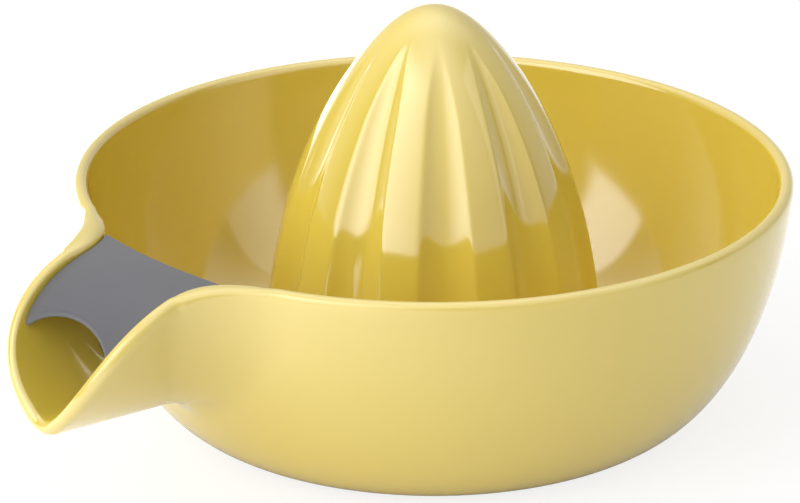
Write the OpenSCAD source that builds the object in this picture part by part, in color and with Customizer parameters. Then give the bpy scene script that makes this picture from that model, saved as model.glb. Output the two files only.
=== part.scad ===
// Bowl-type lemon squeezer: a bowl whose wall runs out into an open spout, a fluted reamer
// standing on its floor, and a lift-out spout insert with a thumb rest and a pip comb.
// Millimetres. +Z is up and the origin is the centre of the flat base, on the table.
// The spout points along -X. The helper functions work in spout coordinates [u, w, z]:
// u runs from the bowl's axis towards the spout's tip, w across it, z up.

/* [Bowl] */
// Outside diameter at the rim
bowl_d = 140; // [130:1:150]
// Height of the rim above the table
rim_z = 49; // [46:1:54]
// Diameter of the flat base
base_d = 86; // [80:1:94]
// Thickness of the walls of bowl and spout
wall_t = 2.8; // [2.4:0.1:3.2]
// Thickness of the floor
floor_t = 3; // [2.4:0.1:4]

/* [Spout] */
// Reach of the spout beyond the bowl's rim
spout_l = 27.2; // [24:0.5:32]
// Outside width of the spout
spout_w = 35.2; // [32:0.4:40]
// Outside radius of the two curved sides
side_r = 34.6; // [33:0.2:38]
// Outside radius of the keel they meet in
keel_r = 6.8; // [6:0.2:8]
// Length over which the lip curls down to the tip
lip_run = 27.8; // [25:0.2:29]
// Height through which the lip curls down
lip_drop = 23.4; // [21:0.2:24.4]
// Fall of the spout's floor towards the bowl, as a share of depth for each mm
spout_fall = 0.0014; // [0:0.0002:0.003]
// Radius of the hollow outside, where the spout's sides leave the bowl
side_fillet = 14; // [11:0.5:16]
// Radius of the hollow outside, under the keel
keel_fillet = 5; // [3:0.5:8]
// Radius of the rounded corner where the bowl's inside turns into the spout
throat_r = 10; // [7:0.5:12]

/* [Reamer] */
// Diameter of the reamer's foot
reamer_d = 66.6; // [60:0.2:70]
// Height of the reamer's tip above the table
reamer_top = 83.1; // [76:0.1:90]
// Thickness of the reamer's wall behind the flutes
reamer_wall = 2.8; // [2:0.1:4]
// Number of flutes
flutes = 10; // [8:1:12]
// Width of a flute at its foot, as a share of the pitch
flute_share = 0.66; // [0.5:0.01:0.7]
// How much narrower a flute would be at the tip, as a share of the pitch
flute_narrowing = 0.17; // [0:0.01:0.25]
// Depth of a flute at its foot, as a share of the radius there
flute_depth = 0.096; // [0.05:0.002:0.1]
// Distance of the flutes' upper ends below the tip
flute_stop = 5; // [4:0.5:12]
// Height of the ring on the bowl's floor that the reamer is located by
ring_h = 3; // [2:0.5:5]

/* [Spout insert] */
// Thickness of the thumb rest
rest_t = 1.2; // [1:0.1:2]
// Distance of the thumb rest's front edge behind the spout's tip
rest_back = 9.2; // [8:0.2:14]
// Crown of the thumb rest above the lips at its front edge
rest_crown = 1.3; // [0.6:0.1:2]
// Thickness of the pip comb, along the spout
comb_t = 2; // [1.6:0.1:3]
// Width of a slot between two teeth
comb_slot = 2.2; // [1.8:0.1:3]
// Width of a tooth
comb_tooth = 1.8; // [1.6:0.1:3]
// Clearance all round the insert in the spout
insert_gap = 0.3; // [0.25:0.05:0.5]

/* [Hidden] */

// How much smaller in radius the flat floor is than the base
floor_inset = 1.5;
// Shape of the bowl's wall: how soon it steepens, and how round it leaves the base
wall_swell = 0.55;
wall_round = 1.5;
// Radius of the rounded corner inside, under the keel, as a share of the throat's
keel_throat = 0.5;
// Height, as a share of the rim's, from which a fillet grows from the keel's to the sides'
fillet_from = 0.4;
// Shape of the reamer: how late it rounds over, and the share by which its ridges lean in
reamer_swell = 3.21;
reamer_taper = 0.36;
// Radius of the flat spot at the reamer's very tip
tip_flat = 1;
// Height over which a flute runs out at its upper end
flute_runout = 14;
// How far the cap over the reamer's hollow is thicker than its wall
reamer_cap = 2.2;
// Clearance between the reamer and its locating ring
ring_fit = 0.2;
// Width of the locating ring's wall
ring_wall = 2.4;
// How far the thumb rest's front corners run ahead of its middle, per mm of width squared
rest_sweep = 0.0155;
// Crown of the thumb rest at its inner edge, as a share of that at its front edge
rest_back_crown = 1 / 3;
// Depth of the comb's root in the thumb rest, as a share of the rest's thickness
comb_root = 0.65;
// Distance of the comb in front of the corner where the spout begins
comb_ahead = 1;
// Depth in the channel's section where the comb's edges leave it and stand upright
comb_shoulder = 3.3;

half_wall = wall_t / 2;
tip_u = bowl_d / 2 + spout_l - half_wall;
lip_z = rim_z - half_wall;
lip_start = tip_u - lip_run;
// Middle surface of the spout's cross-section, below the rim
mid_half = spout_w / 2 - half_wall;
mid_side = side_r - half_wall;
mid_keel = keel_r - half_wall;
side_back = mid_side - mid_half;
keel_y = -sqrt(pow(mid_side - mid_keel, 2) - pow(side_back, 2));
keel_turn = atan2(side_back, -keel_y);

// A skin is the outside or the inside surface of the bowl and spout
RIM_R = 0;
FLOOR_R = 1;
FLOOR_Z = 2;
OFFSET = 3;
SIDE_BLEND = 4;
KEEL_BLEND = 5;
outside = [bowl_d / 2, base_d / 2, 0, half_wall, side_fillet, keel_fillet];
inside = [bowl_d / 2 - wall_t, base_d / 2 - floor_inset, floor_t, -half_wall,
          throat_r, throat_r * keel_throat];

// Grid of the skin: columns on half of the lip, rows down each side, steps over the lip
keel_cols = 4;
spout_cols = 10;
flare_cols = 7;
bowl_cols = 24;
wall_rows = 13;
lip_steps = 4;
// Height, as a share of the rim's, where the rows turn from the spout to the bowl's foot
knee_share = 0.25;
// How far the columns keep their direction on the way down: 0 spaces them evenly at the foot
foot_order = 0.85;
// Where the rows begin to leave the bowl's axis for the spout's, over what length they do so,
// and how far below the rim the spout's runs
lean_back = 10;
lean_run = 20;
lean_drop = 4;
// Rows of the reamer and its hollow, and the places of the reamer's columns in a flute and
// on the land beside it
reamer_rows = 20;
hollow_rows = 12;
flute_places = [-2, -1.5, -1, -2 / 3, -1 / 3, 0, 1 / 3, 2 / 3, 1, 1.5];
// Rows and columns of the thumb rest and the comb's edge, and facets of a round
rest_rows = 10;
rest_cols = 12;
comb_cols = 16;
round_facets = 96;
// How far a cut runs past the face that it opens
cut = 1;
// Keeps a direction from having no length
tiny = 1e-4;

function clamp01(v) = min(1, max(0, v));
function smooth01(v) = let (t = clamp01(v)) t * t * (3 - 2 * t);
function mix(a, b, t) = a + (b - a) * t;
function unit(v) = v / norm(v);

// Radius of the round wall of a skin at height z
function wall_r(skin, z) =
    let (t = clamp01((z - skin[FLOOR_Z]) / (rim_z - skin[FLOOR_Z])))
    mix(skin[RIM_R], skin[FLOOR_R], pow(1 - pow(t, wall_swell), wall_round));

// Depth below the rim, with the fall of the spout's floor taken out
function level(u, z) = (z - rim_z) / (1 + spout_fall * (tip_u - u));

// Point of the spout's cross-section where its outward normal stands at an angle from down
function section_point(angle, offset) =
    let (n = [sin(angle), -cos(angle)])
    angle < keel_turn ? [0, keel_y] + (mid_keel + offset) * n
                      : [-side_back, 0] + (mid_side + offset) * n;

// Distance of a point outside the spout's cross-section, negative inside it
function section_gap(skin, p) =
    let (w = abs(p[1]), y = level(p[0], p[2]), offset = skin[OFFSET])
    y > 0 ? w - mid_half - offset :
    side_back * y < keel_y * (w + side_back) ? norm([w, y - keel_y]) - mid_keel - offset :
    norm([w + side_back, y]) - mid_side - offset;

// Distance outside two shapes whose joint is filled with a round of radius r
function blend(a, b, r) = max(r, min(a, b)) - norm([max(r - a, 0), max(r - b, 0)]);

// Radius of that round at height z
function blend_r(skin, z) =
    let (up = clamp01((z / rim_z - fillet_from) / (1 - fillet_from)))
    mix(skin[KEEL_BLEND], skin[SIDE_BLEND], sqrt(up));

// Distance of a point outside a skin, negative inside it
function skin_gap(skin, p) =
    let (bowl = norm([p[0], p[1]]) - wall_r(skin, p[2]),
         spout = max(section_gap(skin, p), -p[0]))
    blend(bowl, spout, blend_r(skin, p[2]));

// Point where the line from a, inside the skin, through b leaves it
function reach(skin, a, b, near = 0, far = 1.8, steps = 18) =
    let (middle = (near + far) / 2)
    steps == 0 ? mix(a, b, middle) :
    skin_gap(skin, mix(a, b, middle)) < 0 ? reach(skin, a, b, middle, far, steps - 1)
                                          : reach(skin, a, b, near, middle, steps - 1);

// Side view of the lip: its height over u, and the way it faces
function lip_height(u) =
    let (t = clamp01((u - lip_start) / lip_run)) lip_z - lip_drop * (1 - sqrt(1 - t * t));
function lip_facing(u, z) =
    unit([max(u - lip_start, 0) / pow(lip_run, 2), 0,
          max(z - lip_z + lip_drop, tiny) / pow(lip_drop, 2)]);

// A lip station is [outer point, inner point, facing]
function section_station(u, angle) =
    let (fall = 1 + spout_fall * (tip_u - u),
         outer = section_point(angle, half_wall),
         inner = section_point(angle, -half_wall),
         z = rim_z + section_point(angle, 0)[1] * fall)
    [[u, outer[0], rim_z + outer[1] * fall], [u, inner[0], rim_z + inner[1] * fall],
     angle < tip_angle ? [1, 0, 0] : lip_facing(u, z)];
tip_angle = acos((rim_z - lip_z + lip_drop) / mid_side);

// Centre of the round that joins the spout's side to the bowl, seen from above
flare_r = blend_r(outside, lip_z);
flare_w = spout_w / 2 + flare_r;
flare_u = sqrt(pow(wall_r(outside, lip_z) + flare_r, 2) - pow(flare_w, 2));
flare_sweep = 90 - atan2(flare_w, flare_u);
flare_start = asin((flare_u - lip_start) / lip_run);

function keel_station(i) = section_station(tip_u, tip_angle * i / keel_cols);
function side_station(i) =
    let (beta = mix(90, flare_start, i / spout_cols),
         u = lip_start + lip_run * sin(beta))
    section_station(u, acos(-level(u, lip_z - lip_drop * (1 - cos(beta))) / mid_side));
function flare_station(i) =
    let (angle = -90 - flare_sweep * i / flare_cols,
         way = [cos(angle), sin(angle), 0],
         z = lip_height(flare_u + flare_r * cos(angle)),
         centre = [flare_u, flare_w, z],
         deep = centre + (flare_r + 4 * wall_t) * way)
    [reach(outside, deep, centre), reach(inside, deep, centre), lip_facing(centre[0], z)];
bowl_start = 90 - flare_sweep;
function bowl_station(i) =
    let (angle = mix(bowl_start, 180, i / bowl_cols), way = [cos(angle), sin(angle), 0])
    [wall_r(outside, lip_z) * way + [0, 0, lip_z], wall_r(inside, lip_z) * way + [0, 0, lip_z],
     [0, 0, 1]];
half_lip = concat([for (i = [0 : keel_cols]) keel_station(i)],
                  [for (i = [1 : spout_cols]) side_station(i)],
                  [for (i = [1 : flare_cols]) flare_station(i)],
                  [for (i = [1 : bowl_cols]) bowl_station(i)]);

// Down one side of the wall, from a lip point to the edge of the flat floor, where the
// column's direction from the axis is turn
function wall_column(skin, start, turn) =
    let (way = [cos(turn), sin(turn), 0],
         knee_z = mix(skin[FLOOR_Z], rim_z, knee_share),
         knee = wall_r(skin, knee_z) * way + [0, 0, knee_z],
         foot = skin[FLOOR_R] * way + [0, 0, skin[FLOOR_Z]])
    [for (row = [0 : wall_rows])
        let (t = 2 * row / wall_rows, low = clamp01(t - 1), low_z = knee_z
                 + (skin[FLOOR_Z] - knee_z) * (1 - pow(1 - low, 2)),
             aim = t < 1 ? mix(start, knee, t) : wall_r(skin, low_z) * way + [0, 0, low_z],
             lean = smooth01((aim[0] - lip_start + lean_back) / lean_run),
             from = [aim[0] * lean, 0, mix(aim[2], rim_z - lean_drop, lean)])
        row == 0 ? start : row == wall_rows ? foot : reach(skin, from, aim)];

// Over the lip, from the outer point to the inner one
function lip_arc(station) =
    let (middle = (station[0] + station[1]) / 2, across = (station[0] - station[1]) / 2,
         rise = station[2] * min(norm(across), half_wall))
    [for (i = [1 : lip_steps - 1])
        let (angle = 180 * i / lip_steps) middle + across * cos(angle) + rise * sin(angle)];

function reversed(list) = [for (i = [len(list) - 1 : -1 : 0]) list[i]];
half_cols = len(half_lip);
spread_cols = half_cols - 1 - bowl_cols;
half_skin = [for (i = [0 : half_cols - 1])
    let (even = 180 * i / (half_cols - 1),
         own = i < spread_cols ? bowl_start * i / spread_cols
                               : mix(bowl_start, 180, (i - spread_cols) / bowl_cols),
         turn = mix(even, own, foot_order))
    concat(reversed(wall_column(outside, half_lip[i][0], turn)), lip_arc(half_lip[i]),
           wall_column(inside, half_lip[i][1], turn))];
// From spout coordinates to the model's own, on either side of the spout
function placed(column, side) = [for (p = column) [-p[0], side * p[1], p[2]]];
bowl_columns = concat([for (i = [0 : half_cols - 1]) placed(half_skin[i], 1)],
                      [for (i = [half_cols - 2 : -1 : 1]) placed(half_skin[i], -1)]);

// Closed solid from a ring of columns of points, with flat ends at the first and last rows
module ring_solid(columns) {
    n = len(columns);
    m = len(columns[0]);
    points = [for (column = columns) each column];
    // Each cell is split along its shorter diagonal
    walls = [for (i = [0 : n - 1], k = [0 : m - 2])
        let (a = i * m + k, b = (i + 1) % n * m + k,
             rising = norm(points[b + 1] - points[a]) < norm(points[a + 1] - points[b]))
        each rising ? [[a, b + 1, a + 1], [a, b, b + 1]] : [[a, b, a + 1], [b, b + 1, a + 1]]];
    ends = [[for (i = [n - 1 : -1 : 0]) i * m], [for (i = [0 : n - 1]) i * m + m - 1]];
    polyhedron(points, concat(walls, ends), convexity = 6);
}

// Rise of height z above the floor, as a share of the reamer's height
function rise(z) = clamp01((z - floor_t) / (reamer_top - floor_t));

// Radius of the reamer over its ridges at height z
function ridge_r(z) =
    let (t = rise(z))
    reamer_d / 2 * sqrt(1 - pow(t, reamer_swell)) * (1 - reamer_taper * t * t);

hollow_r = ridge_r(floor_t + ring_h) * (1 - flute_depth) - reamer_wall;
ring_r = hollow_r - ring_fit;

module locating_ring() {
    translate([0, 0, floor_t])
        difference() {
            translate([0, 0, -floor_t / 2])
                cylinder(r = ring_r, h = ring_h + floor_t / 2, $fn = round_facets);
            cylinder(r = ring_r - ring_wall, h = ring_h + cut, $fn = round_facets);
        }
}

module bowl() {
    color([0.91, 0.82, 0.47]) {
        ring_solid(bowl_columns);
        locating_ring();
    }
}

// Width of a flute at height z, as a share of the pitch
function flute_width(z) = flute_share - flute_narrowing * rise(z);

// Way of a column round from the middle of its flute, as a share of the pitch. place is 0 in
// the valley, 1 on the flute's edge and 2 in the middle of the land, and negative to the left
function column_share(place, z) =
    let (edge = flute_width(z) / 2, way = abs(place))
    sign(place) * (edge * min(way, 1) + (0.5 - edge) * max(way - 1, 0));

// Depth there, as a share of the radius. The flute's bottom is round, and it rises out of the
// dome below the tip
function flute_cut(place, z) =
    let (left = 1 - min(1, (reamer_top - flute_stop - z) / flute_runout))
    flute_depth * pow(flute_width(z) / flute_share, 2) * max(0, 1 - left * left - place * place);

reamer_columns = [for (flute = [0 : flutes - 1], place = flute_places)
    [for (row = [0 : reamer_rows])
        let (z = mix(floor_t, reamer_top, sin(90 * row / reamer_rows)),
             turn = (flute + 0.5 + column_share(place, z)) * 360 / flutes,
             r = max(ridge_r(z) * (1 - flute_cut(place, z)), tip_flat))
        [-r * cos(turn), r * sin(turn), z]]];

// The hollow under the reamer's wall
module reamer_hollow() {
    top = reamer_top - reamer_cap * reamer_wall;
    shoulder = floor_t + ring_h;
    zs = [for (i = [1 : hollow_rows]) mix(shoulder, top, sin(90 * i / hollow_rows))];
    function inner_r(z) = max(0, ridge_r(z) * (1 - flute_depth) - reamer_wall);
    rotate_extrude($fn = round_facets)
        polygon(concat([[0, floor_t - cut], [hollow_r, floor_t - cut], [hollow_r, shoulder]],
                       [for (z = zs) [inner_r(z), z]], [[0, top]]));
}

module reamer() {
    color([0.93, 0.85, 0.52])
        difference() {
            ring_solid(reamer_columns);
            reamer_hollow();
        }
}

// Half-width that the channel leaves for the insert at u and height z
function insert_half(u, z) =
    reach(inside, [u, 0, z], [u, spout_w / 2, z])[1] - insert_gap;

// Plan and height of the thumb rest: s runs from its inner edge to its front edge, and q
// from one side to the other
rest_inner_r = bowl_d / 2 - half_wall;
rest_front_u = tip_u + half_wall - rest_back;
function rest_u(s, w) =
    mix(sqrt(pow(rest_inner_r, 2) - w * w), rest_front_u + rest_sweep * w * w, s);
function rest_z(s, u, q) =
    lip_height(u) + rest_crown * mix(rest_back_crown, 1, s) * (1 - q * q);
function rest_point(s, q, below) =
    let (rough_u = mix(rest_inner_r, rest_front_u, s),
         u = rest_u(s, q * insert_half(rough_u, lip_height(rough_u))),
         z = rest_z(s, u, q) - below)
    [-u, q * insert_half(u, z), z];

// Closed solid between two grids of points of the same size, one above the other
module sheet_solid(top, bottom) {
    n = len(top);
    m = len(top[0]);
    points = [for (row = concat(top, bottom)) each row];
    function quad(a, b, c, d) = [[a, b, c], [a, c, d]];
    cells = [for (i = [0 : n - 2], k = [0 : m - 2])
        let (a = i * m + k, under = n * m)
        each concat(quad(a, a + m, a + m + 1, a + 1),
                    quad(a + under, a + under + 1, a + under + m + 1, a + under + m))];
    // The edge of the grid, once round
    edge = concat([for (k = [0 : m - 1]) k], [for (i = [1 : n - 1]) i * m + m - 1],
                  [for (k = [m - 2 : -1 : 0]) (n - 1) * m + k],
                  [for (i = [n - 2 : -1 : 1]) i * m]);
    rim = [for (j = [0 : len(edge) - 1])
        let (a = edge[j], b = edge[(j + 1) % len(edge)])
        each quad(a, b, b + n * m, a + n * m)];
    polyhedron(points, concat(cells, rim), convexity = 4);
}

module thumb_rest() {
    function face(below) = [for (i = [0 : rest_rows])
        [for (k = [0 : rest_cols]) rest_point(i / rest_rows, 2 * k / rest_cols - 1, below)]];
    sheet_solid(face(0), face(rest_t));
}

// Comb across the channel, with teeth that hang almost to its floor
module pip_comb() {
    comb_u = sqrt(pow(wall_r(inside, lip_z) + throat_r, 2)
                  - pow(mid_half - half_wall + throat_r, 2)) + comb_ahead;
    fall = 1 + spout_fall * (tip_u - comb_u - comb_t);
    top_z = lip_height(comb_u) - rest_t * (1 - comb_root);
    slot_top = lip_height(comb_u) - rest_t - comb_t;
    shoulder_angle = acos(comb_shoulder / (mid_side - half_wall - insert_gap));
    half = [for (i = [0 : comb_cols])
        let (p = section_point(shoulder_angle * i / comb_cols, -half_wall - insert_gap))
        [p[0], rim_z + p[1] * fall]];
    half_w = half[comb_cols][0];
    outline = concat(half, [[half_w, top_z], [-half_w, top_z]],
                     [for (i = [comb_cols : -1 : 1]) [-half[i][0], half[i][1]]]);
    pitch = comb_slot + comb_tooth;
    slots = floor((half_w - comb_tooth) / pitch);
    difference() {
        translate([-comb_u, 0, 0])
            rotate([90, 0, -90])
                linear_extrude(height = comb_t)
                    polygon(outline);
        for (side = [-1, 1], i = [0 : slots - 1])
            translate([-comb_u - comb_t - cut, side * (i + 0.5) * pitch - comb_slot / 2, 0])
                cube([comb_t + 2 * cut, comb_slot, slot_top]);
    }
}

module spout_strainer() {
    color([0.45, 0.45, 0.48]) {
        thumb_rest();
        pip_comb();
    }
}

bowl();
reamer();
spout_strainer();
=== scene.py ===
from math import acos, asin, atan2, cos, pi, radians, sin, sqrt

import bpy
import numpy as np
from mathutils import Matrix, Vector


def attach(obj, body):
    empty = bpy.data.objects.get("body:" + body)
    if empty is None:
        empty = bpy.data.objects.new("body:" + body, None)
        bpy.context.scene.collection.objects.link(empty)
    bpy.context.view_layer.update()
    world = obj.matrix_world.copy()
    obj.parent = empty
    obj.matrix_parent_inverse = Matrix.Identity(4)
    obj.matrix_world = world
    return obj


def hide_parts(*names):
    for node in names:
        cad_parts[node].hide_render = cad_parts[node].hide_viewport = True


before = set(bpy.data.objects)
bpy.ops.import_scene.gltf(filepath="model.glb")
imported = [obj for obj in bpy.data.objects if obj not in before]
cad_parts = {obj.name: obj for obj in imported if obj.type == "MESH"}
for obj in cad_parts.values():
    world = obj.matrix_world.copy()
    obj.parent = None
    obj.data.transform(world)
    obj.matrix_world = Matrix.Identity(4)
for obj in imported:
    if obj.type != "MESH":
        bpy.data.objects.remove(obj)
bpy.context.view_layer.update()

# ------------------------------------------------------------------------------------------
# Bowl with its pouring spout: one compression moulding in glossy melamine, 2.8 mm thick.
# Its wall runs out into an open, keeled scoop, and its lip is a full round. The surface is
# found the way the mould is cut: a turned bowl and a drawn spout, with a round between them.

# The bowl, in millimetres: u runs from its axis towards the spout's tip, w across, z up
MM = 0.001
RIM_Z = 49.0
WALL = 2.8
HALF_WALL = WALL / 2
RIM_R = 70.0
BASE_R = 43.0
FLOOR_Z = 3.0
FLOOR_INSET = 1.5
# The two powers in the rule of the wall's curve from foot to rim
WALL_SWELL = 0.55
WALL_ROUND = 1.5

# The spout: its lip drops along an ellipse, and its section has two side arcs and a keel arc,
# deeper by SPOUT_FALL of itself for each millimetre back from the tip. Sizes are to the middle
# of the wall, but for the reach, the width and the two outer radii
SPOUT_REACH = 27.2
SPOUT_WIDTH = 35.2
SPOUT_FALL = 0.0014
SPOUT_HALF = SPOUT_WIDTH / 2 - HALF_WALL
TIP_U = RIM_R + SPOUT_REACH - HALF_WALL
LIP_Z = RIM_Z - HALF_WALL
LIP_RUN = 27.8
LIP_START = TIP_U - LIP_RUN
LIP_DROP = 23.4
SIDE_OUTER_R = 34.6
SIDE_R = SIDE_OUTER_R - HALF_WALL
KEEL_OUTER_R = 6.8
KEEL_R = KEEL_OUTER_R - HALF_WALL
SIDE_BACK = SIDE_R - SPOUT_HALF
KEEL_Y = -sqrt((SIDE_R - KEEL_R) ** 2 - SIDE_BACK**2)
KEEL_TURN = atan2(SIDE_BACK, -KEEL_Y)

# The wall's two skins: radius at rim and foot, height of the flat, distance from the middle of
# the wall, and the round between bowl and spout at the keel and at the lip. The round starts
# to grow at a share of the rim's height
OUTSIDE = {
    "rim": RIM_R,
    "foot": BASE_R,
    "floor": 0.0,
    "offset": HALF_WALL,
    "keel_round": 5.0,
    "lip_round": 14.0,
}
INSIDE = {
    "rim": RIM_R - WALL,
    "foot": BASE_R - FLOOR_INSET,
    "floor": FLOOR_Z,
    "offset": -HALF_WALL,
    "keel_round": 5.0,
    "lip_round": 10.0,
}
ROUND_GROWS_FROM = 0.4

# Columns along half of the lip, rows down each side of the wall, and steps over the lip
KEEL_COLUMNS = 9
SPOUT_COLUMNS = 30
FLARE_COLUMNS = 24
BOWL_COLUMNS = 70
WALL_ROWS = 52
LIP_STEPS = 12
# The height where columns bend in to the foot, as a share of the wall's, and how far their
# feet keep to the order of their tops, against an even spread
KNEE_SHARE = 0.25
FOOT_ORDER = 0.85
# Along the spout, columns are drawn out from a line just below the rim. It takes over from the
# bowl's axis along this run
SPOUT_LINE_DEPTH = 4.0
TAKEOVER_RUN = 20.0
# Where a skin is looked for along a line: up to a multiple of the line, by halving. The
# flare's lines start this far beyond its arc, in the hollow of the bowl
SEARCH_FAR = 1.8
SEARCH_HALVINGS = 34
FLARE_SEARCH = 4 * WALL
# Keeps the lip at the tip from facing downwards
LEAST_RISE = 1e-4


def mix(a, b, t):
    return a + (b - a) * t


def round_wall(skin, z):
    """Radius of the turned bowl at height z."""
    t = np.clip((z - skin["floor"]) / (RIM_Z - skin["floor"]), 0, 1)
    return mix(skin["rim"], skin["foot"], (1 - t**WALL_SWELL) ** WALL_ROUND)


def section_point(angle, offset):
    """Point (w, y) of the spout's section, where its normal stands at an angle from down."""
    n = np.stack([np.sin(angle), -np.cos(angle)], -1)
    keel = np.array([0, KEEL_Y]) + (KEEL_R + offset) * n
    side = np.array([-SIDE_BACK, 0]) + (SIDE_R + offset) * n
    return np.where((angle < KEEL_TURN)[..., None], keel, side)


def section_gap(skin, p):
    """Distance outside the drawn spout's section."""
    w, off = np.abs(p[..., 1]), skin["offset"]
    y = (p[..., 2] - RIM_Z) / (1 + SPOUT_FALL * (TIP_U - p[..., 0]))
    below = np.where(
        SIDE_BACK * y < KEEL_Y * (w + SIDE_BACK),
        np.hypot(w, y - KEEL_Y) - KEEL_R - off,
        np.hypot(w + SIDE_BACK, y) - SIDE_R - off,
    )
    return np.where(y > 0, w - SPOUT_HALF - off, below)


def blend_radius(skin, z):
    """Radius of the round between bowl and spout at height z."""
    up = np.clip((z / RIM_Z - ROUND_GROWS_FROM) / (1 - ROUND_GROWS_FROM), 0, 1)
    return mix(skin["keel_round"], skin["lip_round"], np.sqrt(up))


def skin_gap(skin, p):
    """Distance outside one skin of the moulding, with a round filling the joint."""
    bowl = np.hypot(p[..., 0], p[..., 1]) - round_wall(skin, p[..., 2])
    spout = np.maximum(section_gap(skin, p), -p[..., 0])
    r = blend_radius(skin, p[..., 2])
    corner = np.hypot(np.maximum(r - bowl, 0), np.maximum(r - spout, 0))
    return np.maximum(r, np.minimum(bowl, spout)) - corner


def reach(skin, start, through):
    """Where the line from start, inside the skin, leaves it."""
    near, far = np.zeros(start.shape[:-1]), np.full(start.shape[:-1], SEARCH_FAR)
    for _ in range(SEARCH_HALVINGS):
        middle = (near + far) / 2
        inside = skin_gap(skin, mix(start, through, middle[..., None])) < 0
        near, far = np.where(inside, middle, near), np.where(inside, far, middle)
    return mix(start, through, near[..., None])


def lip_height(u):
    """Height of the lip's middle: level, then down the ellipse to the tip."""
    t = np.clip((u - LIP_START) / LIP_RUN, 0, 1)
    return LIP_Z - LIP_DROP * (1 - np.sqrt(1 - t * t))


def lip_facing(u, z):
    """The way the lip faces, seen from the side."""
    out = np.maximum(u - LIP_START, 0) / LIP_RUN**2
    up = np.maximum(z - LIP_Z + LIP_DROP, LEAST_RISE) / LIP_DROP**2
    n = np.stack([out, 0 * out, up], -1)
    return n / np.linalg.norm(n, axis=-1, keepdims=True)


def lip_stations():
    """Outer point, inner point and facing of each column at the lip, from the keel round to
    the bowl's back, and the angle where the bowl's own rim starts."""
    tip_angle = acos((RIM_Z - LIP_Z + LIP_DROP) / SIDE_R)
    flare_r = float(blend_radius(OUTSIDE, np.array(LIP_Z)))
    flare_w = SPOUT_HALF + HALF_WALL + flare_r
    flare_u = sqrt((float(round_wall(OUTSIDE, np.array(LIP_Z))) + flare_r) ** 2 - flare_w**2)
    sweep = pi / 2 - atan2(flare_w, flare_u)

    # The spout, in planes across it
    keel_angle = tip_angle * np.arange(KEEL_COLUMNS) / KEEL_COLUMNS
    beta = np.linspace(pi / 2, asin((flare_u - LIP_START) / LIP_RUN), SPOUT_COLUMNS + 1)
    u = np.concatenate([np.full(KEEL_COLUMNS, TIP_U), LIP_START + LIP_RUN * np.sin(beta)])
    fall = 1 + SPOUT_FALL * (TIP_U - u)
    lip_y = (LIP_Z - LIP_DROP * (1 - np.cos(beta)) - RIM_Z) / fall[KEEL_COLUMNS:]
    angle = np.concatenate([keel_angle, np.arccos(-lip_y / SIDE_R)])
    lines = []
    for offset in (HALF_WALL, -HALF_WALL, 0):
        q = section_point(angle, offset)
        lines.append(np.stack([u, q[:, 0], RIM_Z + q[:, 1] * fall], -1))
    outer, inner, middle = lines
    facing = lip_facing(u, middle[:, 2])
    facing[:KEEL_COLUMNS] = (1, 0, 0)
    spout = outer, inner, facing

    # The flare, round the upright axis of its own arc
    turn = -pi / 2 - sweep * np.arange(1, FLARE_COLUMNS + 1) / FLARE_COLUMNS
    way = np.stack([np.cos(turn), np.sin(turn), 0 * turn], -1)
    z = lip_height(flare_u + flare_r * way[:, 0])
    centre = np.stack([0 * z + flare_u, 0 * z + flare_w, z], -1)
    deep = centre + (flare_r + FLARE_SEARCH) * way
    flare = (
        reach(OUTSIDE, deep, centre),
        reach(INSIDE, deep, centre),
        lip_facing(0 * z + flare_u, z),
    )

    # The bowl's level rim
    start = pi / 2 - sweep
    turn = mix(start, pi, np.arange(1, BOWL_COLUMNS + 1) / BOWL_COLUMNS)
    way = np.stack([np.cos(turn), np.sin(turn), 0 * turn], -1)
    level = np.array([0, 0, LIP_Z])
    bowl = (
        round_wall(OUTSIDE, np.array(LIP_Z)) * way + level,
        round_wall(INSIDE, np.array(LIP_Z)) * way + level,
        np.tile([0.0, 0.0, 1.0], (BOWL_COLUMNS, 1)),
    )
    outer, inner, facing = (np.concatenate(three) for three in zip(spout, flare, bowl))
    return outer, inner, facing, start


def wall_columns(skin, start, turn):
    """Points from the lip down one skin to the edge of its flat."""
    way = np.stack([np.cos(turn), np.sin(turn), 0 * turn], -1)[:, None]
    knee_z = mix(skin["floor"], RIM_Z, KNEE_SHARE)
    knee = round_wall(skin, np.array(knee_z)) * way + np.array([0, 0, knee_z])
    t = (2 * np.arange(WALL_ROWS + 1) / WALL_ROWS)[None, :, None]
    low = np.clip(t - 1, 0, 1)
    low_z = knee_z + (skin["floor"] - knee_z) * (1 - (1 - low) ** 2)
    lower = round_wall(skin, low_z) * way + low_z * np.array([0, 0, 1])
    aim = np.where(t < 1, mix(start[:, None], knee, np.minimum(t, 1)), lower)
    s = np.clip((aim[..., 0] - LIP_START + TAKEOVER_RUN / 2) / TAKEOVER_RUN, 0, 1)
    lean = s * s * (3 - 2 * s)
    drawn_z = mix(aim[..., 2], RIM_Z - SPOUT_LINE_DEPTH, lean)
    axis = np.stack([aim[..., 0] * lean, 0 * lean, drawn_z], -1)
    points = reach(skin, axis, aim)
    points[:, 0] = start
    points[:, -1] = skin["foot"] * way[:, 0] + np.array([0, 0, skin["floor"]])
    return points


def put_in_scene(name, data):
    """A new object with this mesh, lamp or camera."""
    obj = bpy.data.objects.new(name, data)
    bpy.context.scene.collection.objects.link(obj)
    return obj


def smooth_piece(name, verts, faces):
    """A new object with a smooth-shaded mesh."""
    mesh = bpy.data.meshes.new(name)
    mesh.from_pydata(verts.tolist(), [], faces)
    mesh.shade_smooth()
    return put_in_scene(name, mesh)


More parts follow.
